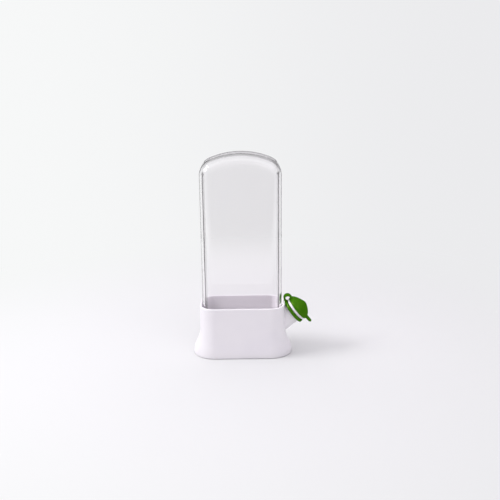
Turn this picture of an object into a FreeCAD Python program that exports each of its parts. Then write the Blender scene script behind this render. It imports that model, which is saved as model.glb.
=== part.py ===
import FreeCAD, Part

import math
import os

# Herb keeper: a water base with a filler spout on one end, a clear capsule
# that stands in the base and is closed by a sliding front panel, and a soft
# leaf-shaped cap that is tethered to the spout.
# Millimetres. +Z is up, +X points to the spout and -Y is the front.
# The origin is the middle of the underside, on the surface it stands on.

# Whole object
overall_height = 278.0

# Base body, at the rim
rim_length = 115.0
rim_depth = 60.0
rim_height = 72.3
rim_corner = 19.5
base_wall = 2.8
rim_round = 1.1

# The ends of the base flare out towards the foot, in two arcs
flare_reach = 10.4
flare_top = 42.0
flare_foot = 3.0
flare_hollow_share = 0.73
flare_sections = 10

# Bottom plate, let into the underside of the base body
foot_gap = 0.8
foot_round = 0.7
plate_thickness = 4.0
plate_let_in = 1.4
plate_fit = 0.1
plate_rib_height = 3.0
plate_rib_wall = 1.6
plate_rib_fit = 0.4

# Ledges inside the base that the capsule stands on
seat_depth = 21.0
ledge_length = 14.0
ledge_reach = 3.8
ledge_height = 6.0
ledge_spacing = 50.0

# Capsule: back shell and front panel
capsule_fit = 1.2
shell_wall = 2.4
arch_radius = 105.0
arch_corner = 22.0
seam_gap = 0.3

# Above the rails the panel reaches back over the shell, as a hood
hood_reach = 9.0

# Rails that guide the front panel, a tongue in a groove on each side
rail_width = 5.0
rail_lip = 1.2
rail_land = 5.0
rail_back = 6.0
groove_depth = 4.0
tongue_fit = 0.3

# Finger grips, one recess in each side
grip_bottom = 120.0
grip_length = 48.0
grip_breadth = 24.0
grip_corner = 5.0

# Spout, a straight neck that leaves the end of the base at a slope
spout_slope = 38.5
spout_drop = 24.5
neck_radius = 14.0
bore_radius = 11.7

# Collar of the cap, which just clears the end of the base, and the mouth
# flange beyond it, which the cap sits on
collar_clearance = 0.5
collar_thickness = 4.3
collar_radius = 17.7
collar_fit = 0.05
collar_round = 1.1
flange_gap = 0.95
flange_thickness = 2.85
flange_radius = 16.9
flange_round = 0.6

# Tether strap, a loop that joins the collar to the cap
strap_thickness = 2.2
strap_breadth = 9.0
strap_stand_off = 0.8
strap_leg = 1.0
loop_inner_radius = 3.4

# Leaf cap
skirt_radius = 17.6
skirt_height = 3.6
leaf_height = 14.5
crest_offset = 0.4
leaf_bulge = 1.35
leaf_shoulder = 0.65
leaf_section_shares = (1.0, 0.96, 0.88, 0.74, 0.56, 0.36, 0.18, 0.06)
plug_depth = 5.0
plug_fit = 0.5
plug_taper = 0.8
tip_reach = 10.0
tip_rise = 3.0
tip_thickness = 3.6
tip_root_breadth = 13.0
tip_end_breadth = 4.8
tip_lift = 2.5
tip_round = 1.2

# Worked out from the sizes above
seat_height = rim_height - seat_depth
spout_height = rim_height - spout_drop
capsule_length = rim_length - 2 * (base_wall + capsule_fit)
capsule_depth = rim_depth - 2 * (base_wall + capsule_fit)
capsule_corner = rim_corner - base_wall - capsule_fit
half_length = capsule_length / 2
corner_offset = half_length - arch_corner
arch_centre_drop = math.sqrt((arch_radius - arch_corner) ** 2 - corner_offset ** 2)
arch_centre_height = overall_height - arch_radius
rail_top = arch_centre_height + arch_centre_drop
seam_half = seam_gap / 2
groove_outer = half_length - rail_lip
groove_inner = half_length - rail_width + rail_lip
slope = math.radians(spout_slope)
corner_rise = collar_radius - collar_round
corner_reach = corner_rise * math.sin(slope) + collar_round + collar_clearance
collar_start = corner_reach / math.cos(slope) - collar_round
collar_end = collar_start + collar_thickness
flange_start = collar_end + flange_gap
mouth = flange_start + flange_thickness
loop_outer_radius = loop_inner_radius + strap_thickness
loop_centre = collar_end + loop_inner_radius
strap_foot_rise = max(collar_radius, skirt_radius) + strap_stand_off
loop_centre_rise = strap_foot_rise + strap_leg

V = FreeCAD.Vector
UP = V(0, 0, 1)
RIGHT = V(1, 0, 0)
BACK = V(0, 1, 0)


def box(low, high):
    """Box between two corners, given as (x, y, z)."""
    size = [b - a for a, b in zip(low, high)]
    return Part.makeBox(size[0], size[1], size[2], V(*low))


def rounded_plan(length, depth, corner, height):
    """Outline of a rounded rectangle at a height, centred on the Z axis."""
    hx = length / 2
    hy = depth / 2
    flat_x = hx - corner
    flat_y = hy - corner
    mid = corner * math.sqrt(0.5)
    edges = []
    for sx, sy in ((1, -1), (1, 1), (-1, 1), (-1, -1)):
        on_y = V(sx * flat_x, sy * hy, height)
        on_x = V(sx * hx, sy * flat_y, height)
        middle = V(sx * (flat_x + mid), sy * (flat_y + mid), height)
        start, end = (on_y, on_x) if sx * sy < 0 else (on_x, on_y)
        if edges:
            edges.append(Part.LineSegment(edges[-1].Vertexes[-1].Point, start).toShape())
        edges.append(Part.Arc(start, middle, end).toShape())
    edges.append(Part.LineSegment(edges[-1].Vertexes[-1].Point, edges[0].Vertexes[0].Point).toShape())
    return Part.Wire(edges)


def flare(height):
    """How far each end of the base stands out beyond the rim at a height."""
    drop = flare_top - flare_foot
    turn = 2 * math.atan(flare_reach / drop)
    both_radii = drop / math.sin(turn)
    hollow = both_radii * flare_hollow_share
    rounded = both_radii - hollow
    if height >= flare_top:
        return 0.0
    if height >= flare_top - hollow * math.sin(turn):
        return hollow - math.sqrt(hollow ** 2 - (flare_top - height) ** 2)
    if height >= flare_foot:
        return flare_reach - rounded + math.sqrt(rounded ** 2 - (height - flare_foot) ** 2)
    return flare_reach


def base_plan(height, inset):
    """Outline of the base at a height, moved in from the outer face by inset.
    The front and back stay flat over the same length, and the corners grow with the flare."""
    reach = flare(height)
    corner = min(rim_corner + reach, rim_depth / 2 - 0.05)
    return rounded_plan(rim_length + 2 * (reach - inset), rim_depth - 2 * inset, corner - inset, height)


def base_prism(bottom, top, inset):
    """Upright prism on the outline that the base has at the prism's bottom."""
    return Part.Face(base_plan(bottom, inset)).extrude(UP * (top - bottom))


def flared_form(inset):
    """Solid form of the flared stretch, through sections that lie closer at both ends."""
    last = flare_sections - 1
    shares = [(1 - math.cos(math.pi * i / last)) / 2 for i in range(flare_sections)]
    heights = [flare_foot + (flare_top - flare_foot) * share for share in shares]
    return Part.makeLoft([base_plan(z, inset) for z in heights], True)


def spout_point(along, rise):
    """Point in the middle plane, along the spout's axis and up across it."""
    x = rim_length / 2 + along * math.cos(slope) - rise * math.sin(slope)
    z = spout_height + along * math.sin(slope) + rise * math.cos(slope)
    return V(x, 0, z)


def spout_direction():
    """Direction of the spout's axis, outwards."""
    return spout_point(1, 0) - spout_point(0, 0)


def spout_cylinder(radius, start, end):
    """Cylinder on the spout's axis."""
    return Part.makeCylinder(radius, end - start, spout_point(start, 0), spout_direction())


def in_spout_frame(shape):
    """Places a shape drawn with x up across the spout and z along its axis."""
    across = spout_point(0, 1) - spout_point(0, 0)
    along = spout_direction()
    side = along.cross(across)
    turn = FreeCAD.Matrix(across.x, side.x, along.x, 0, across.y, side.y, along.y, 0,
                          across.z, side.z, along.z, 0, 0, 0, 0, 1)
    placed = shape.copy()
    placed.Placement = FreeCAD.Placement(turn)
    placed.translate(spout_point(0, 0))
    return placed


def edges_at(shape, test):
    """Edges whose every vertex passes the test."""
    return [e for e in shape.Edges if all(test(v.Point) for v in e.Vertexes)]


def seat_ledge(middle_x, side):
    """Wedge on the front or back wall that carries the lower edge of the capsule."""
    wall_y = side * (rim_depth / 2 - base_wall / 2)
    face_y = side * (rim_depth / 2 - base_wall - ledge_reach)
    low_x = middle_x - ledge_length / 2
    corners = [
        V(low_x, wall_y, seat_height),
        V(low_x, face_y, seat_height),
        V(low_x, face_y, seat_height - ledge_height / 3),
        V(low_x, wall_y, seat_height - ledge_height),
    ]
    return Part.Face(Part.makePolygon(corners + corners[:1])).extrude(RIGHT * ledge_length)


def base_body():
    """White one-piece body: rim, walls, flared ends, seat ledges and spout."""
    rim = base_prism(flare_top, rim_height, 0).cut(base_prism(flare_top, rim_height, base_wall))
    rim = rim.makeFillet(rim_round, edges_at(rim, lambda p: p.z > rim_height - 0.01))
    foot = base_prism(foot_gap, flare_foot, 0)
    foot = foot.makeFillet(foot_round, edges_at(foot, lambda p: p.z < foot_gap + 0.01))
    foot = foot.cut(base_prism(0, flare_foot, base_wall))
    ends = flared_form(0).cut(flared_form(base_wall))
    cavity = base_prism(flare_top, rim_height, base_wall).fuse(flared_form(base_wall))
    neck = spout_cylinder(neck_radius, -neck_radius * 2, mouth)
    flange = spout_cylinder(flange_radius, flange_start, mouth)
    flange = flange.makeFillet(flange_round, [e for e in flange.Edges if len(e.Vertexes) == 1])
    bore = spout_cylinder(bore_radius, -neck_radius * 2, mouth + 1)
    spout = neck.cut(cavity).fuse(flange)
    body = ends.fuse([foot, rim, spout]).cut(bore)
    for middle_x in (-ledge_spacing / 2, ledge_spacing / 2):
        for side in (-1, 1):
            body = body.fuse(seat_ledge(middle_x, side))
    recess = Part.Face(base_plan(0, plate_let_in)).extrude(UP * plate_thickness)
    return body.cut(recess).removeSplitter()


def bottom_plate():
    """Plate that closes the base from below, with a rib that locates it in the body."""
    inset = plate_let_in + plate_fit
    plate = Part.Face(base_plan(0, inset)).extrude(UP * plate_thickness)
    rib_top = plate_thickness + plate_rib_height
    rib_inset = base_wall + plate_rib_fit + flare_reach - flare(rib_top)
    rib_outer = Part.Face(base_plan(0, rib_inset)).extrude(UP * rib_top)
    rib_inner = Part.Face(base_plan(0, rib_inset + plate_rib_wall)).extrude(UP * rib_top)
    rib = rib_outer.cut(rib_inner).common(box((-rim_length, -rim_depth, plate_thickness / 2),
                                              (rim_length, rim_depth, rib_top)))
    return plate.fuse(rib).removeSplitter()


def arch_outline(inset, bottom):
    """Closed upright outline of the capsule, moved in by inset, in the plane y = 0."""
    side = half_length - inset
    corner = arch_corner - inset
    arch = arch_radius - inset
    leave_x = corner_offset / (arch_radius - arch_corner) * arch
    leave_z = arch_centre_height + arch_centre_drop / (arch_radius - arch_corner) * arch
    turn = math.atan2(leave_z - rail_top, leave_x - corner_offset) / 2
    edges = []
    corner_points = []
    for s in (1, -1):
        corner_points.append((
            V(s * side, 0, rail_top),
            V(s * (corner_offset + corner * math.cos(turn)), 0, rail_top + corner * math.sin(turn)),
            V(s * leave_x, 0, leave_z),
        ))
    right, left = corner_points
    edges.append(Part.LineSegment(V(-side, 0, bottom), V(side, 0, bottom)))
    edges.append(Part.LineSegment(V(side, 0, bottom), right[0]))
    edges.append(Part.Arc(right[0], right[1], right[2]))
    edges.append(Part.Arc(right[2], V(0, 0, arch_centre_height + arch), left[2]))
    edges.append(Part.Arc(left[2], left[1], left[0]))
    edges.append(Part.LineSegment(left[0], V(-side, 0, bottom)))
    return Part.Wire([e.toShape() for e in edges])


def capsule_form(inset, bottom):
    """Solid form of the whole capsule, moved in by inset, rounded round its front and back."""
    half = capsule_depth / 2 - inset
    block = Part.Face(arch_outline(inset, bottom)).translated(V(0, -half, 0)).extrude(BACK * (2 * half))
    rim_edges = [
        e for e in edges_at(block, lambda p: abs(abs(p.y) - half) < 0.01)
        if max(v.Point.z for v in e.Vertexes) > bottom + 1
    ]
    return block.makeFillet(capsule_corner - inset, rim_edges)


def capsule_wall():
    """The capsule's thin wall all round, open at the bottom."""
    return capsule_form(0, seat_height).cut(capsule_form(shell_wall, seat_height - 1))


def rail_block(side, near, far, top):
    """Thickened strip up one side of the capsule, from y = near to y = far."""
    inner = side * (half_length - rail_width)
    outer = side * (half_length - shell_wall / 2)
    return box((min(inner, outer), near, seat_height), (max(inner, outer), far, top))


def side_slot(side, inner, outer, near, far, bottom, top):
    """Upright slot or tongue shape in one side."""
    return box((min(side * inner, side * outer), near, bottom),
               (max(side * inner, side * outer), far, top))


def finger_grips():
    """The two recesses for the fingers, cut in the outside of the sides."""
    grips = []
    for side in (-1, 1):
        low_x = groove_outer if side > 0 else -half_length - 1
        grip = box((low_x, -grip_breadth / 2, grip_bottom),
                   (low_x + rail_lip + 1, grip_breadth / 2, grip_bottom + grip_length))
        across = [e for e in grip.Edges if abs(e.tangentAt(e.FirstParameter).x) > 0.9]
        grips.append(grip.makeFillet(grip_corner, across))
    return grips


def back_shell():
    """Clear rear half of the capsule, with a groove up each side for the panel."""
    top = rail_top - seam_half
    behind = box((-half_length - 1, seam_half, seat_height - 1), (half_length + 1, capsule_depth, top))
    crown = box((-half_length - 1, hood_reach + seam_half, seat_height),
                (half_length + 1, capsule_depth, overall_height + 1))
    shell = capsule_wall().common(behind.fuse(crown))
    for side in (-1, 1):
        shell = shell.fuse(rail_block(side, seam_half, rail_back, top))
    for side in (-1, 1):
        shell = shell.cut(side_slot(side, groove_inner, groove_outer, 0, seam_half + groove_depth,
                                    seat_height - 1, rail_top))
    return shell.cut(finger_grips()).removeSplitter()


def front_panel():
    """Clear front half of the capsule with its hood, which slides up in the back shell's grooves."""
    ahead = box((-half_length - 1, -capsule_depth, seat_height - 1),
                (half_length + 1, -seam_half, overall_height + 1))
    hood = box((-half_length - 1, -capsule_depth, rail_top + seam_half),
               (half_length + 1, hood_reach - seam_half, overall_height + 1))
    shell = capsule_wall().common(ahead.fuse(hood))
    for side in (-1, 1):
        shell = shell.fuse(rail_block(side, -rail_land, -seam_half, rail_top))
        tongue = side_slot(side, groove_inner + tongue_fit, groove_outer - tongue_fit, -rail_land,
                           seam_half + groove_depth - tongue_fit, seat_height, rail_top + shell_wall)
        shell = shell.fuse(tongue)
    return shell.cut(finger_grips()).removeSplitter()


def cap_collar():
    """Soft ring round the spout's neck, with a lug that carries the strap."""
    ring = spout_cylinder(collar_radius, collar_start, collar_end)
    ring = ring.makeFillet(collar_round, [e for e in ring.Edges if len(e.Vertexes) == 1])
    lug = in_spout_frame(box((neck_radius + strap_thickness / 2, -strap_breadth / 2,
                              collar_end - strap_thickness),
                             (strap_foot_rise, strap_breadth / 2, collar_end)))
    hole = spout_cylinder(neck_radius + collar_fit, collar_start - 1, collar_end + 1)
    return ring.fuse(lug).cut(hole).removeSplitter()


def cap_strap():
    """Soft loop from the collar's lug over to the cap's lug."""
    near = loop_centre - loop_outer_radius
    far = loop_centre + loop_inner_radius
    legs = [
        box((strap_foot_rise, -strap_breadth / 2, start),
            (loop_centre_rise, strap_breadth / 2, start + strap_thickness))
        for start in (near, far)
    ]
    middle = V(loop_centre_rise, -strap_breadth / 2, loop_centre)
    bend = Part.makeCylinder(loop_outer_radius, strap_breadth, middle, BACK)
    bend = bend.cut(Part.makeCylinder(loop_inner_radius, strap_breadth, middle, BACK))
    bend = bend.common(box((loop_centre_rise, -strap_breadth, near),
                           (loop_centre_rise + loop_outer_radius, strap_breadth, far + strap_thickness)))
    return in_spout_frame(bend.fuse(legs).removeSplitter())


def leaf_section(share):
    """Round outline across the dome, which closes in on the crest as the share falls from 1 to 0."""
    height = skirt_height + (leaf_height - skirt_height) * (1 - share ** leaf_bulge) ** leaf_shoulder
    middle = V(-crest_offset * (1 - share), 0, height)
    return Part.Wire([Part.Circle(middle, UP, skirt_radius * share).toShape()])


def leaf_tip():
    """Pointed tab beyond the skirt, for lifting the cap."""
    root = -skirt_radius + tip_thickness
    end = -skirt_radius - tip_reach + tip_end_breadth / 2
    low = tip_rise - tip_thickness / 2
    outline = Part.Wire([
        Part.LineSegment(V(root, tip_root_breadth / 2, low), V(end, tip_end_breadth / 2, low)).toShape(),
        Part.Arc(V(end, tip_end_breadth / 2, low), V(end - tip_end_breadth / 2, 0, low),
                 V(end, -tip_end_breadth / 2, low)).toShape(),
        Part.LineSegment(V(end, -tip_end_breadth / 2, low), V(root, -tip_root_breadth / 2, low)).toShape(),
        Part.LineSegment(V(root, -tip_root_breadth / 2, low), V(root, tip_root_breadth / 2, low)).toShape(),
    ])
    tab = Part.Face(outline).extrude(UP * tip_thickness)
    rims = [
        e for e in tab.Edges
        if abs(e.Vertexes[0].Point.z - e.Vertexes[-1].Point.z) < 0.01
        and min(v.Point.x for v in e.Vertexes) < root - 0.1
    ]
    tab = tab.makeFillet(tip_round, rims)
    tab.rotate(V(-skirt_radius, 0, tip_rise), BACK, tip_lift)
    return tab


def leaf_cap():
    """Soft leaf-shaped cap with a plug that closes the spout's bore."""
    skirt = Part.makeCylinder(skirt_radius, skirt_height)
    dome = Part.makeLoft([leaf_section(share) for share in leaf_section_shares], True)
    plug_radius = bore_radius - plug_fit
    plug = Part.makeCone(plug_radius - plug_taper, plug_radius, plug_depth, V(0, 0, -plug_depth))
    lug_low = loop_centre + loop_inner_radius - mouth
    lug = box((skirt_radius - strap_thickness, -strap_breadth / 2, lug_low),
              (strap_foot_rise, strap_breadth / 2, lug_low + strap_thickness))
    cap = dome.fuse([skirt, plug, lug, leaf_tip()]).removeSplitter()
    placed = in_spout_frame(cap)
    placed.translate(spout_direction() * mouth)
    return placed


def main():
    """Builds each piece and writes it under its own name."""
    pieces = {
        "base_body": base_body,
        "bottom_plate": bottom_plate,
        "back_shell": back_shell,
        "front_panel": front_panel,
        "cap_collar": cap_collar,
        "cap_strap": cap_strap,
        "leaf_cap": leaf_cap,
    }
    os.makedirs("parts", exist_ok=True)
    for name, build in pieces.items():
        shape = build()
        shape.exportStep("parts/" + name + ".step")
        extent = shape.BoundBox
        print(name, "solids", len(shape.Solids), "valid", shape.isValid(),
              "volume", round(shape.Volume, 1),
              "x", round(extent.XMin, 2), round(extent.XMax, 2),
              "y", round(extent.YMin, 2), round(extent.YMax, 2),
              "z", round(extent.ZMin, 2), round(extent.ZMax, 2))


main()
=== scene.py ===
"""Looks of a herb keeper: white water base, clear capsule, green leaf-shaped spout cap."""

import logging
import math
from dataclasses import dataclass, field
from enum import Enum
from typing import Any, Iterable, Sequence

import bmesh
import bpy
from mathutils import Matrix, Vector


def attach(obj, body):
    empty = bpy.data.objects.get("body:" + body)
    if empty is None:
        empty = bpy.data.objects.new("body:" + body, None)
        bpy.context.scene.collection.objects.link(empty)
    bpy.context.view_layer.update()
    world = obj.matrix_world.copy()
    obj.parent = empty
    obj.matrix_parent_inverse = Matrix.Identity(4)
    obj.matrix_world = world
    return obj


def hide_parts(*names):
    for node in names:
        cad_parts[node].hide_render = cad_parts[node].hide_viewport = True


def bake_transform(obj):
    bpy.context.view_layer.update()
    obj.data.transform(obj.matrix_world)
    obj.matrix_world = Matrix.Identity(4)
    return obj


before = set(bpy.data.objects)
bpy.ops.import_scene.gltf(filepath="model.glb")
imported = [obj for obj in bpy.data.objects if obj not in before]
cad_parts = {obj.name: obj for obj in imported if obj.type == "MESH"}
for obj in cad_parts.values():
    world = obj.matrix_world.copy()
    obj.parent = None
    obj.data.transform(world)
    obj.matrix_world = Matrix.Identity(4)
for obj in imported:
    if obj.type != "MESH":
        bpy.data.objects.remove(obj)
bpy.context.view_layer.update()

LOG = logging.getLogger("herb_keeper")
MM = 0.001
FULL_TURN = 2 * math.pi
QUARTER_TURN = math.pi / 2

Colour = tuple[float, float, float, float]
Span = tuple[float, float]


def srgb(red: int, green: int, blue: int) -> Colour:
    """Turns a colour in 0 to 255 as a screen shows it into Blender's linear colour.

    Args:
        red: Red as shown on screen.
        green: Green as shown on screen.
        blue: Blue as shown on screen.

    Returns:
        The linear colour with an alpha of 1.
    """
    linear = []
    for channel in (red, green, blue):
        share = channel / 255
        linear.append(share / 12.92 if share <= 0.04045 else ((share + 0.055) / 1.055) ** 2.4)
    return (*linear, 1.0)


class Value:
    """A number or colour socket that adds its Math nodes when it is used in an expression."""

    def __init__(self, shader: "Shader", socket: bpy.types.NodeSocket) -> None:
        """Keeps the socket and the shader that it belongs to."""
        self.shader = shader
        self.socket = socket

    def _math(self, operation: str, first: Any, second: Any = 0.0) -> "Value":
        """Adds one Math node.

        Args:
            operation: Name of the operation, as the Math node has it.
            first: Left-hand value.
            second: Right-hand value.

        Returns:
            The node's result.
        """
        return self.shader.make("ShaderNodeMath", {"operation": operation}, {0: first, 1: second})

    def __add__(self, other: Any) -> "Value":
        """Sum."""
        return self._math("ADD", self, other)

    __radd__ = __add__

    def __rsub__(self, other: Any) -> "Value":
        """Difference, with this value taken away."""
        return self._math("SUBTRACT", other, self)

    def __mul__(self, other: Any) -> "Value":
        """Product."""
        return self._math("MULTIPLY", self, other)

    def maximum(self, other: Any) -> "Value":
        """The larger of this value and another."""
        return self._math("MAXIMUM", self, other)

    def ramp(self, low: float, high: float) -> "Value":
        """Smooth step from 0 at low to 1 at high."""
        return self.shader.make(
            "ShaderNodeMapRange", {"interpolation_type": "SMOOTHSTEP"},
            {"Value": self, "From Min": low, "From Max": high})


class Shader:
    """Node tree of one material or of the world, built from plain calls."""

    def __init__(self, owner: bpy.types.Material | bpy.types.World) -> None:
        """Empties the owner's node tree and keeps it.

        Args:
            owner: Material or world to build.
        """
        owner.use_nodes = True
        self.tree = owner.node_tree
        self.tree.nodes.clear()

    def make(self, kind: str, settings: dict[str, Any] | None = None,
             inputs: dict[Any, Any] | None = None, output: int | str = 0) -> Value:
        """Adds a node, sets its settings first and then fills or links its sockets.

        Args:
            kind: Node type.
            settings: Attributes of the node.
            inputs: Socket name or number to a number, colour or Value.
            output: Name or number of the output that is returned.

        Returns:
            The chosen output.
        """
        node = self.tree.nodes.new(kind)
        for name, setting in (settings or {}).items():
            setattr(node, name, setting)
        for name, given in (inputs or {}).items():
            if isinstance(given, Value):
                self.tree.links.new(given.socket, node.inputs[name])
            else:
                node.inputs[name].default_value = given
        found = node.outputs[output] if node.outputs else None
        return Value(self, found)

    def place(self) -> Value:
        """Position on the object, in metres."""
        return self.make("ShaderNodeTexCoord", output="Object")

    def noise(self, scale: float, detail: float = 2.0) -> Value:
        """Cloudy noise by position on the object."""
        return self.make("ShaderNodeTexNoise", {}, {
            "Vector": self.place(), "Scale": scale, "Detail": detail})

    def blend_colours(self, share: Value, first: Any, second: Any) -> Value:
        """Mix of two colours.

        Args:
            share: How much of the second colour shows, from 0 to 1.
            first: Colour at 0.
            second: Colour at 1.

        Returns:
            The mixed colour.
        """
        return self.make("ShaderNodeMix", {"data_type": "RGBA"},
                         {0: share, 6: first, 7: second}, output=2)

    def bump(self, height: Value, depth: float, strength: float) -> Value:
        """Surface relief from a height between 0 and 1.

        Args:
            height: Height value.
            depth: Depth of the relief in metres.
            strength: Share of the relief that shows.

        Returns:
            The changed normal.
        """
        return self.make("ShaderNodeBump", {}, {
            "Height": height, "Distance": depth, "Strength": strength})


@dataclass(frozen=True)
class SatinPlastic:
    """Moulded plastic with a fine texture and faint marks, which lets a little light through."""

    name: str
    colour: Colour
    shade: Colour
    roughness: float = 0.36
    roughness_spread: float = 0.08
    grain_scale: float = 2600.0
    grain_depth: float = 0.02 * MM
    grain_strength: float = 0.35
    cloud_scale: float = 22.0
    cloud_span: Span = (0.35, 0.75)
    wipe_scale: float = 88.0
    wipe_detail: float = 4.0
    refraction: float = 1.49
    glow_share: float = 0.4
    glow_reach: float = 4.0 * MM

    def material(self) -> bpy.types.Material:
        """Builds the material."""
        material = bpy.data.materials.new(self.name)
        shader = Shader(material)
        cloud = shader.noise(self.cloud_scale)
        wipes = shader.noise(self.wipe_scale, self.wipe_detail)
        grain = shader.noise(self.grain_scale)
        skin = shader.make("ShaderNodeBsdfPrincipled", {}, {
            "Base Color": shader.blend_colours(
                cloud.ramp(*self.cloud_span), self.colour, self.shade),
            "Roughness": self.roughness + wipes * self.roughness_spread,
            "Normal": shader.bump(grain, self.grain_depth, self.grain_strength),
            "IOR": self.refraction,
            "Subsurface Weight": self.glow_share,
            "Subsurface Radius": (1.0, 1.0, 1.0),
            "Subsurface Scale": self.glow_reach,
        })
        shader.make("ShaderNodeOutputMaterial", {}, {"Surface": skin})
        return material


@dataclass(frozen=True)
class ClearPlastic:
    """Clear polished plastic, which lets shadow rays through so that the inside stays light."""

    name: str
    tint: Colour
    roughness: float = 0.02
    smear: float = 0.03
    smear_scale: float = 30.0
    smear_detail: float = 5.0
    smear_span: Span = (0.55, 0.8)
    refraction: float = 1.49

    def material(self) -> bpy.types.Material:
        """Builds the material."""
        material = bpy.data.materials.new(self.name)
        shader = Shader(material)
        marks = shader.noise(self.smear_scale, self.smear_detail)
        clear = shader.make("ShaderNodeBsdfPrincipled", {}, {
            "Base Color": self.tint,
            "Roughness": self.roughness + marks.ramp(*self.smear_span) * self.smear,
            "IOR": self.refraction,
            "Transmission Weight": 1.0,
        })
        gap = shader.make("ShaderNodeBsdfTransparent", {}, {"Color": self.tint})
        shadow = shader.make("ShaderNodeLightPath", output="Is Shadow Ray")
        surface = shader.make("ShaderNodeMixShader", {}, {0: shadow, 1: clear, 2: gap})
        shader.make("ShaderNodeOutputMaterial", {}, {"Surface": surface})
        return material


@dataclass(frozen=True)
class SoftSilicone:
    """Soft coloured silicone: a dull, slightly cloudy body under an even sheen."""

    name: str
    colour: Colour
    light: Colour
    glint: Colour = (0.6, 1.0, 0.15, 1.0)
    glint_share: float = 0.045
    roughness: float = 0.26
    roughness_spread: float = 0.1
    cloud_scale: float = 90.0
    cloud_detail: float = 3.0
    cloud_span: Span = (0.4, 0.8)
    grain_scale: float = 1800.0
    grain_depth: float = 0.03 * MM
    grain_strength: float = 0.4
    refraction: float = 1.4

    def material(self) -> bpy.types.Material:
        """Builds the material."""
        material = bpy.data.materials.new(self.name)
        shader = Shader(material)
        cloud = shader.noise(self.cloud_scale, self.cloud_detail)
        grain = shader.noise(self.grain_scale)
        relief = shader.bump(grain, self.grain_depth, self.grain_strength)
        skin = shader.make("ShaderNodeBsdfPrincipled", {}, {
            "Base Color": shader.blend_colours(
                cloud.ramp(*self.cloud_span), self.colour, self.light),
            "Roughness": self.roughness + cloud * self.roughness_spread,
            "Normal": relief,
            "IOR": self.refraction,
            "Specular IOR Level": 0.0,
        })
        sheen = shader.make("ShaderNodeBsdfAnisotropic", {}, {
            "Color": self.glint, "Roughness": self.roughness, "Normal": relief})
        surface = shader.make("ShaderNodeMixShader", {}, {0: self.glint_share, 1: skin, 2: sheen})
        shader.make("ShaderNodeOutputMaterial", {}, {"Surface": surface})
        return material


class Finish(Enum):
    """Finishes of the keeper, by the record's material slot."""

    BASE_WHITE = "base_white"
    PLATE_WHITE = "plate_white"
    CLEAR_PLASTIC = "clear_plastic"
    LEAF_GREEN = "leaf_green"


def make_finishes() -> dict[Finish, bpy.types.Material]:
    """Builds each finish once.

    Returns:
        The material of each finish.
    """
    recipes = {
        Finish.BASE_WHITE: SatinPlastic(
            "satin_white", srgb(236, 233, 237), srgb(232, 229, 234)),
        Finish.PLATE_WHITE: SatinPlastic(
            "matt_white", srgb(226, 223, 228), srgb(221, 218, 223), roughness=0.55),
        Finish.CLEAR_PLASTIC: ClearPlastic("clear_plastic", srgb(254, 253, 254)),
        Finish.LEAF_GREEN: SoftSilicone("leaf_green", srgb(46, 102, 0), srgb(54, 111, 0)),
    }
    return {finish: recipe.material() for finish, recipe in recipes.items()}


@dataclass
class SpoutFrame:
    """Directions of the sloping spout: along its axis, up across it, and sideways."""

    slope: float = math.radians(38.5)
    wall: Vector = field(default_factory=lambda: Vector((57.5, 0, 47.8)) * MM)
    mouth: float = 22.25 * MM

    @property
    def along(self) -> Vector:
        """Direction out of the spout."""
        return Vector((math.cos(self.slope), 0, math.sin(self.slope)))

    @property
    def across(self) -> Vector:
        """Direction up across the spout."""
        return Vector((-math.sin(self.slope), 0, math.cos(self.slope)))

    def point(self, rise: float, side: float, along: float) -> Vector:
        """Point in the row frame from lengths in the spout's frame.

        Args:
            rise: Distance up across the axis.
            side: Distance to the side.
            along: Distance from the base's end wall along the axis.

        Returns:
            The point.
        """
        return self.wall + self.across * rise + Vector((0, side, 0)) + self.along * along

    def reading(self, point: Vector) -> tuple[float, float, float]:
        """Rise, side and distance along the axis of a point in the row frame."""
        away = point - self.wall
        return away.dot(self.across), away.y, away.dot(self.along)


def mesh_object(name: str, points: Sequence[Vector],
                faces: Sequence[Sequence[int]]) -> bpy.types.Object:
    """Makes a smooth-shaded mesh object with outward normals.

    Args:
        name: Name of the object.
        points: Vertices in the row frame.
        faces: Vertex numbers of each face.

    Returns:
        The object, linked to the scene.
    """
    mesh = bpy.data.meshes.new(name)
    mesh.from_pydata([tuple(p) for p in points], [], [tuple(f) for f in faces])
    work = bmesh.new()
    work.from_mesh(mesh)
    bmesh.ops.recalc_face_normals(work, faces=work.faces)
    work.to_mesh(mesh)
    work.free()
    mesh.shade_smooth()
    made = bpy.data.objects.new(name, mesh)
    bpy.context.scene.collection.objects.link(made)
    return made


def skin_rows(rows: Sequence[Sequence[Vector]],
              start: int = 0) -> tuple[list[Vector], list[list[int]]]:
    """Covers closed rings of points with quads, and closes both ends.

    Args:
        rows: Rings with the same number of points; a ring at an end is filled by one face.
        start: Number of the first vertex.

    Returns:
        The points and the faces.
    """
    count = len(rows[0])
    points = [p for row in rows for p in row]
    faces = []
    for r in range(len(rows) - 1):
        for c in range(count):
            n = (c + 1) % count
            faces.append([start + r * count + c, start + r * count + n,
                          start + (r + 1) * count + n, start + (r + 1) * count + c])
    faces.append([start + c for c in reversed(range(count))])
    faces.append([start + (len(rows) - 1) * count + c for c in range(count)])
    return points, faces


def skin_loop(rows: Sequence[Sequence[Vector]]) -> tuple[list[Vector], list[list[int]]]:
    """Covers rings of points with quads and joins the last ring to the first.

    Args:
        rows: Rings with the same number of points.

    Returns:
        The points and the faces.
    """
    count = len(rows[0])
    points = [p for row in rows for p in row]
    faces = []
    for r in range(len(rows)):
        following = (r + 1) % len(rows)
        for c in range(count):
            n = (c + 1) % count
            faces.append([r * count + c, r * count + n,
                          following * count + n, following * count + c])
    return points, faces


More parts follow.
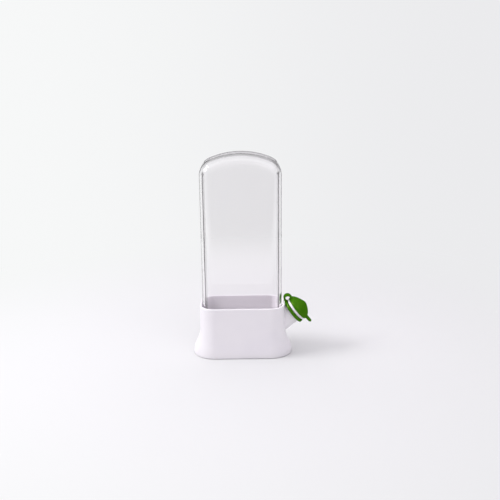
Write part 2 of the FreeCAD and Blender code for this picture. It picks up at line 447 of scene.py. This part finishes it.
def rounded_section(width: float, height: float, corner: float,
                    steps: int = 4) -> list[tuple[float, float]]:
    """Points round a rounded rectangle centred on zero.

    Args:
        width: Size along the first direction.
        height: Size along the second direction.
        corner: Corner radius.
        steps: Points in each corner, less one.

    Returns:
        The points as pairs.
    """
    section = []
    for quarter in range(4):
        first_angle = quarter * QUARTER_TURN
        sign_x = 1 if quarter in (0, 3) else -1
        sign_y = 1 if quarter in (0, 1) else -1
        for step in range(steps + 1):
            angle = first_angle + step / steps * QUARTER_TURN
            section.append((sign_x * (width / 2 - corner) + corner * math.cos(angle),
                            sign_y * (height / 2 - corner) + corner * math.sin(angle)))
    return section


def settled(piece: bpy.types.Object) -> bpy.types.Object:
    """Applies all modifiers of a piece and removes them.

    Args:
        piece: Mesh object.

    Returns:
        The same object with its final mesh.
    """
    evaluated = piece.evaluated_get(bpy.context.evaluated_depsgraph_get())
    final = bpy.data.meshes.new_from_object(evaluated)
    piece.modifiers.clear()
    piece.data = final
    final.shade_smooth()
    return piece


@dataclass
class LeafCap:
    """Soft cap on the spout: leaf-shaped dome, pulling tip, collar ring and tether strap."""

    spout: SpoutFrame
    finish: bpy.types.Material
    edge_radius: float = 17.6 * MM
    skirt_height: float = 3.4 * MM
    dome_height: float = 14.6 * MM
    crest_offset: float = 0.4 * MM
    dome_bulge: float = 1.35
    dome_shoulder: float = 0.65
    roof_fall: float = 0.10
    crest_share: float = 0.004
    lower_round: float = 0.7 * MM
    lower_steps: int = 3
    plug_radius: float = 11.15 * MM
    plug_taper: float = 0.7 * MM
    plug_depth: float = 5.0 * MM
    tip_rise: float = 3.0 * MM
    tip_length: float = 9.7 * MM
    tip_thickness: float = 4.0 * MM
    tip_root_breadth: float = 13.0 * MM
    tip_end_breadth: float = 4.4 * MM
    tip_lift: float = 0.1 * MM
    tip_bury: float = 5.0 * MM
    tip_steps: int = 26
    tip_taper: float = 0.7
    tip_end_share: float = 0.2
    tip_least_square: float = 0.02
    tip_least_height: float = 0.35
    tip_corner_share: float = 0.49
    collar_start: float = 14.15 * MM
    collar_thickness: float = 4.3 * MM
    collar_outer: float = 17.7 * MM
    collar_inner: float = 14.05 * MM
    collar_round: float = 1.2 * MM
    collar_corner_steps: int = 6
    strap_thickness: float = 2.2 * MM
    strap_breadth: float = 9.0 * MM
    strap_corner: float = 0.75 * MM
    strap_leg_steps: int = 8
    strap_bend_steps: int = 30
    strap_in_collar: float = 1.2 * MM
    strap_in_cap: float = 2.0 * MM
    loop_radius: float = 4.5 * MM
    loop_rise: float = 20.0 * MM
    columns: int = 144
    dome_rows: int = 40
    voxel: float = 0.36 * MM
    soften_factor: float = 0.5
    soften_rounds: int = 6
    vein_depth: float = 0.22 * MM
    vein_width: float = 0.55 * MM
    rib_height: float = 0.38 * MM
    rib_width: float = 0.85 * MM
    vein_spacing: float = 5.2 * MM
    vein_slant: float = 0.55
    vein_start_share: float = 0.8
    vein_fade_side: float = 2.0 * MM
    vein_fade_height: float = 3.0 * MM

    @property
    def loop_along(self) -> float:
        """Place of the loop's centre along the spout, which is the cap's hinge."""
        strap_middle = self.collar_start + self.collar_thickness - self.strap_thickness / 2
        return strap_middle + self.loop_radius

    def dome_ring(self, share: float) -> list[Vector]:
        """Ring of the dome.

        Args:
            share: 0 at the crest and 1 at the skirt.

        Returns:
            The points of the ring.
        """
        ring = []
        profile = (1 - share ** self.dome_bulge) ** self.dome_shoulder
        for c in range(self.columns):
            turn = FULL_TURN * c / self.columns
            rise = -self.crest_offset * (1 - share) + self.edge_radius * share * math.cos(turn)
            side = self.edge_radius * share * math.sin(turn)
            fall = self.roof_fall * abs(side) * (1 - share)
            dome = self.dome_height - self.skirt_height
            height = self.skirt_height + dome * profile - fall
            ring.append(self.spout.point(rise, side, self.spout.mouth + height))
        return ring

    def flat_ring(self, radius: float, height: float) -> list[Vector]:
        """Round ring at a height over the spout's mouth."""
        ring = []
        for c in range(self.columns):
            turn = FULL_TURN * c / self.columns
            ring.append(self.spout.point(radius * math.cos(turn), radius * math.sin(turn),
                                         self.spout.mouth + height))
        return ring

    def tip_rings(self) -> list[list[Vector]]:
        """Rings along the pulling tip, from inside the dome to its rounded end."""
        rings = []
        start = -self.edge_radius + self.tip_bury
        end = -self.edge_radius - self.tip_length
        narrowing = self.tip_end_breadth - self.tip_root_breadth
        for i in range(self.tip_steps + 1):
            rise = start + (end - start) * math.sin(i / self.tip_steps * math.pi / 2)
            progress = (rise - start) / (end - start)
            breadth = self.tip_root_breadth + narrowing * progress ** self.tip_taper
            rounding = max(0.0, (progress - (1 - self.tip_end_share)) / self.tip_end_share)
            closing = math.sqrt(max(self.tip_least_square, 1 - rounding ** 2))
            thickness = self.tip_thickness * max(closing, self.tip_least_height)
            section = rounded_section(breadth * closing, thickness,
                                      thickness * self.tip_corner_share)
            height = self.spout.mouth + self.tip_rise + self.tip_lift * progress ** 2
            rings.append([self.spout.point(rise, a, height + b) for a, b in section])
        return rings

    def cap_piece(self) -> bpy.types.Object:
        """Builds the cap as one soft moulding with its plug, dome and tip."""
        rows = [self.flat_ring(self.plug_radius - self.plug_taper, -self.plug_depth),
                self.flat_ring(self.plug_radius, 0)]
        for step in range(self.lower_steps + 1):
            angle = step / self.lower_steps * math.pi / 2
            inset = self.lower_round * (1 - math.sin(angle))
            rows.append(self.flat_ring(self.edge_radius - inset,
                                       self.lower_round * (1 - math.cos(angle))))
        for r in range(self.dome_rows):
            share = math.sin((1 - r / self.dome_rows) * math.pi / 2)
            rows.append(self.dome_ring(share))
        rows.append(self.dome_ring(self.crest_share))
        points, faces = skin_rows(rows)
        tip_points, tip_faces = skin_rows(self.tip_rings(), len(points))
        piece = mesh_object("leaf_cap_moulding", points + tip_points, faces + tip_faces)
        remesh = piece.modifiers.new("melt_together", "REMESH")
        remesh.mode = "VOXEL"
        remesh.voxel_size = self.voxel
        smooth = piece.modifiers.new("soften", "SMOOTH")
        smooth.factor = self.soften_factor
        smooth.iterations = self.soften_rounds
        settled(piece)
        self.press_veins(piece)
        return piece

    def press_veins(self, piece: bpy.types.Object) -> None:
        """Raises the midrib and presses the side veins into the dome."""
        for vertex in piece.data.vertices:
            rise, side, along = self.spout.reading(vertex.co)
            if along < self.spout.mouth + self.skirt_height * self.vein_start_share:
                continue
            over_skirt = along - self.spout.mouth - self.skirt_height
            rib = math.exp(-(side / self.rib_width) ** 2) * self.rib_height
            phase = ((rise + abs(side) * self.vein_slant) / self.vein_spacing) % 1.0
            distance = min(phase, 1 - phase) * self.vein_spacing
            side_fade = min(1.0, abs(side) / self.vein_fade_side)
            fade = side_fade * min(1.0, over_skirt / self.vein_fade_height)
            groove = math.exp(-(distance / self.vein_width) ** 2)
            vein = groove * self.vein_depth * max(0.0, fade)
            vertex.co += vertex.normal * (rib - vein)

    def collar_piece(self) -> bpy.types.Object:
        """Builds the ring that holds the cap on the spout's neck."""
        thick = self.collar_outer - self.collar_inner
        middle = (self.collar_outer + self.collar_inner) / 2
        section = rounded_section(thick, self.collar_thickness, self.collar_round,
                                  self.collar_corner_steps)
        level = self.collar_start + self.collar_thickness / 2
        rows = []
        for c in range(self.columns):
            turn = FULL_TURN * c / self.columns
            rows.append([self.spout.point((middle + a) * math.cos(turn),
                                          (middle + a) * math.sin(turn), level + b)
                         for a, b in section])
        points, faces = skin_loop(rows)
        return mesh_object("cap_collar_ring", points, faces)

    def strap_path(self) -> list[tuple[float, float, float]]:
        """Middle line of the strap as rise, distance along the spout and heading."""
        low = self.loop_along - self.loop_radius
        high = self.loop_along + self.loop_radius
        leg = self.strap_leg_steps
        bend = self.strap_bend_steps
        first = self.collar_outer - self.strap_in_collar
        last = self.edge_radius - self.strap_in_cap
        path = [(first + (self.loop_rise - first) * i / leg, low, 0.0) for i in range(leg)]
        for i in range(bend + 1):
            angle = math.pi * i / bend
            path.append((self.loop_rise + self.loop_radius * math.sin(angle),
                         self.loop_along - self.loop_radius * math.cos(angle), angle))
        path += [(self.loop_rise + (last - self.loop_rise) * (i + 1) / leg, high, math.pi)
                 for i in range(leg)]
        return path

    def strap_section(self) -> list[tuple[float, float]]:
        """Section of the strap, as thickness and breadth."""
        return rounded_section(self.strap_thickness, self.strap_breadth, self.strap_corner)

    def strap_piece(self) -> bpy.types.Object:
        """Builds the tether strap as a flat loop that bends between collar and cap."""
        rows = []
        for rise, along, heading in self.strap_path():
            rows.append([self.spout.point(rise + a * math.sin(heading), b,
                                          along - a * math.cos(heading))
                         for a, b in self.strap_section()])
        points, faces = skin_rows(rows)
        return mesh_object("cap_strap_loop", points, faces)

    def strap_shares(self) -> list[float]:
        """Eased share of the bend for each vertex of the strap, from 0 on the collar's leg to 1 on
        the cap's leg.
        """
        around = len(self.strap_section())
        shares = []
        for _, _, heading in self.strap_path():
            share = heading / math.pi
            shares += [share * share * (3 - 2 * share)] * around
        return shares

    def build(self) -> list[bpy.types.Object]:
        """Builds and dresses all pieces of the cap.

        Returns:
            The pieces.
        """
        cap = self.cap_piece()
        collar = self.collar_piece()
        strap = self.strap_piece()
        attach(cap, "cap")
        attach(collar, "base")
        near = self.spout.point(self.loop_rise, 0, self.loop_along - self.loop_radius)
        far = self.spout.point(self.loop_rise, 0, self.loop_along + self.loop_radius)
        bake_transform(strap)
        self.strap_shares()
        for piece, node in ((cap, "leaf_cap"), (collar, "cap_collar"), (strap, "cap_strap")):
            piece.data.materials.append(self.finish)
            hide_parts(node)
        return [cap, collar, strap]


@dataclass
class WaterBase:
    """White base body and its bottom plate."""

    body_finish: bpy.types.Material
    plate_finish: bpy.types.Material

    def build(self) -> list[bpy.types.Object]:
        """Dresses the base.

        Returns:
            The pieces.
        """
        dress(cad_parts["base_body"], self.body_finish)
        dress(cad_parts["bottom_plate"], self.plate_finish)
        return [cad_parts["base_body"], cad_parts["bottom_plate"]]


@dataclass
class ClearCapsule:
    """Back shell and sliding front panel."""

    finish: bpy.types.Material

    def build(self) -> list[bpy.types.Object]:
        """Dresses the two shells.

        Returns:
            The pieces.
        """
        shells = [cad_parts["back_shell"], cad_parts["front_panel"]]
        for shell in shells:
            dress(shell, self.finish)
        return shells


def dress(piece: bpy.types.Object, finish: bpy.types.Material) -> None:
    """Gives a piece one finish.

    Args:
        piece: Object to dress.
        finish: Its material.
    """
    piece.data.materials.clear()
    piece.data.materials.append(finish)


@dataclass
class Studio:
    """Pale table, plain surroundings, two soft lamps and the camera."""

    table_front: float = -0.64
    table_edge: float = -0.43
    table_reach: float = 5.0
    fade_start: float = 0.14
    fade_end: float = 0.6
    # Painted light and shade: the backdrop and far floor are lighter on the left, towards the key
    # lamp, and darker on the right.
    backdrop_lit_left: Colour = srgb(247, 248, 248)
    backdrop_shaded_right: Colour = srgb(235, 235, 237)
    table_colour: Colour = srgb(219, 220, 220)
    sky_colour: Colour = srgb(253, 249, 255)
    sky_low: float = 0.42
    sky_high: float = 1.2
    under_table: float = 0.12
    backdrop_spread: float = 0.34
    horizon_span: Span = (-0.06, 0.02)
    zenith_span: Span = (0.1, 0.9)
    behind_span: Span = (-0.02, 0.02)
    above_span: Span = (0.1, 0.3)
    right_span: Span = (0.25, 0.5)
    dim_above: float = 0.5
    dim_right: float = 0.4
    key_power: float = 13.2
    key_place: Vector = field(default_factory=lambda: Vector((-1.25, -0.25, 1.05)))
    key_size: float = 0.7
    fill_power: float = 2.4
    fill_place: Vector = field(default_factory=lambda: Vector((0.9, -1.2, 1.0)))
    fill_size: float = 1.2
    camera_azimuth: float = -0.21
    camera_elevation: float = 16.3
    camera_distance: float = 1.0058
    camera_roll: float = -0.666
    camera_focal_pixels: float = 748.5
    camera_target: Vector = field(default_factory=lambda: Vector((0.01146, 0, 0.14597)))
    image_width: float = 500.0
    sensor_width: float = 36.0
    clip_start: float = 0.01

    def backdrop(self, shader: Shader, across: Value) -> Value:
        """Colour of the backdrop, painted lighter on its left, towards the key lamp, and darker on
        its right as painted shade.

        Args:
            shader: Shader that shows it.
            across: How far to the right a ray points, from -1 to 1.

        Returns:
            The colour.
        """
        share = across.ramp(-self.backdrop_spread, self.backdrop_spread)
        return shader.blend_colours(share, self.backdrop_lit_left, self.backdrop_shaded_right)

    def table(self) -> bpy.types.Object:
        """Builds the table top, which fades into the backdrop and, towards the camera, into dark."""
        reach = self.table_reach
        corners = [Vector((-reach, self.table_front, 0)), Vector((reach, self.table_front, 0)),
                   Vector((reach, reach, 0)), Vector((-reach, reach, 0))]
        top = mesh_object("table_top", corners, [[0, 1, 2, 3]])
        material = bpy.data.materials.new("pale_table")
        shader = Shader(material)
        seen = shader.make("ShaderNodeLightPath", output="Is Camera Ray")
        seen = seen.maximum(shader.make("ShaderNodeLightPath", output="Is Glossy Ray"))
        seen = seen.maximum(shader.make("ShaderNodeLightPath", output="Is Transmission Ray"))
        distance = shader.make("ShaderNodeVectorMath", {"operation": "LENGTH"},
                               {0: shader.place()}, output="Value")
        surface = shader.make("ShaderNodeBsdfDiffuse", {}, {"Color": self.table_colour})
        towards = shader.make("ShaderNodeNewGeometry", output="Incoming")
        across = 0.0 - shader.make("ShaderNodeSeparateXYZ", {}, {0: towards}, output="X")
        glow = shader.make("ShaderNodeEmission", {}, {
            "Color": self.backdrop(shader, across), "Strength": 1.0})
        faded = distance.ramp(self.fade_start, self.fade_end) * seen
        mixed = shader.make("ShaderNodeMixShader", {}, {0: faded, 1: surface, 2: glow})
        inside = shader.make("ShaderNodeSeparateXYZ", {}, {0: shader.place()}, output="Y")
        inside = inside.ramp(self.table_front, self.table_edge)
        dark = shader.make("ShaderNodeEmission", {}, {
            "Color": self.sky_colour, "Strength": self.under_table})
        mixed = shader.make("ShaderNodeMixShader", {}, {0: inside, 1: dark, 2: mixed})
        shader.make("ShaderNodeOutputMaterial", {}, {"Surface": mixed})
        top.data.materials.append(material)
        return top

    def surroundings(self) -> None:
        """Sets the world: backdrop where it is seen, soft light above, dim below the table."""
        world = bpy.data.worlds.new("surroundings")
        bpy.context.scene.world = world
        shader = Shader(world)
        direction = shader.make("ShaderNodeTexCoord", output="Generated")
        across = shader.make("ShaderNodeSeparateXYZ", {}, {0: direction}, output="X")
        depth = shader.make("ShaderNodeSeparateXYZ", {}, {0: direction}, output="Y")
        height = shader.make("ShaderNodeSeparateXYZ", {}, {0: direction}, output="Z")
        above = height.ramp(*self.horizon_span)
        zenith = height.ramp(*self.zenith_span)
        strength = self.under_table + above * (self.sky_low - self.under_table)
        strength = strength + zenith * (self.sky_high - self.sky_low)
        sky = shader.make("ShaderNodeBackground", {}, {
            "Color": self.sky_colour, "Strength": strength})
        bent = shader.make("ShaderNodeLightPath", output="Is Transmission Ray")
        behind = depth.ramp(*self.behind_span)
        seen = behind * shader.make("ShaderNodeLightPath", output="Is Camera Ray").maximum(bent)
        dimmed = height.ramp(*self.above_span) * self.dim_above
        dimmed = dimmed + across.ramp(*self.right_span) * self.dim_right
        glow = 1.0 - bent * dimmed
        plain = shader.make("ShaderNodeBackground", {}, {
            "Color": self.backdrop(shader, across), "Strength": glow})
        mixed = shader.make("ShaderNodeMixShader", {}, {0: seen, 1: sky, 2: plain})
        shader.make("ShaderNodeOutputWorld", {}, {"Surface": mixed})

    def lamp(self, name: str, place: Vector, size: float, power: float) -> None:
        """Adds a square soft lamp that points at the middle of the keeper.

        Args:
            name: Name of the lamp.
            place: Where it stands.
            size: Side of its square face.
            power: Power in watts.
        """
        data = bpy.data.lights.new(name, "AREA")
        data.shape = "SQUARE"
        data.size = size
        data.energy = power
        made = bpy.data.objects.new(name, data)
        made.location = place
        made.rotation_euler = (self.camera_target - place).to_track_quat("-Z", "Y").to_euler()
        bpy.context.scene.collection.objects.link(made)

    def camera(self) -> None:
        """Places the camera at the photograph's view."""
        azimuth = math.radians(self.camera_azimuth)
        elevation = math.radians(self.camera_elevation)
        roll = math.radians(self.camera_roll)
        back = Vector((math.sin(azimuth) * math.cos(elevation),
                       -math.cos(azimuth) * math.cos(elevation), math.sin(elevation)))
        right = (-back).cross(Vector((0, 0, 1))).normalized()
        up = right.cross(-back)
        turned_right = right * math.cos(roll) + up * math.sin(roll)
        turned_up = up * math.cos(roll) - right * math.sin(roll)
        data = bpy.data.cameras.new("camera")
        data.sensor_width = self.sensor_width
        data.lens = self.camera_focal_pixels / self.image_width * self.sensor_width
        data.clip_start = self.clip_start
        made = bpy.data.objects.new("camera", data)
        turn = Matrix((turned_right, turned_up, back)).transposed().to_4x4()
        place = self.camera_target + back * self.camera_distance
        made.matrix_world = Matrix.Translation(place) @ turn
        bpy.context.scene.collection.objects.link(made)
        bpy.context.scene.camera = made

    def build(self) -> None:
        """Builds the whole studio."""
        bpy.context.scene.view_settings.view_transform = "Standard"
        self.camera()
        self.surroundings()
        self.table()
        self.lamp("key_lamp", self.key_place, self.key_size, self.key_power)
        self.lamp("fill_lamp", self.fill_place, self.fill_size, self.fill_power)


def report(pieces: Iterable[bpy.types.Object]) -> None:
    """Logs each finished piece with its face count."""
    for piece in pieces:
        LOG.info("%s: %d faces", piece.name, len(piece.data.polygons))


def main() -> None:
    """Builds the studio and the keeper."""
    logging.basicConfig(level=logging.INFO, format="%(message)s")
    Studio().build()
    finishes = make_finishes()
    report(WaterBase(finishes[Finish.BASE_WHITE], finishes[Finish.PLATE_WHITE]).build())
    report(ClearCapsule(finishes[Finish.CLEAR_PLASTIC]).build())
    report(LeafCap(SpoutFrame(), finishes[Finish.LEAF_GREEN]).build())


if __name__ == "__main__":
    main()
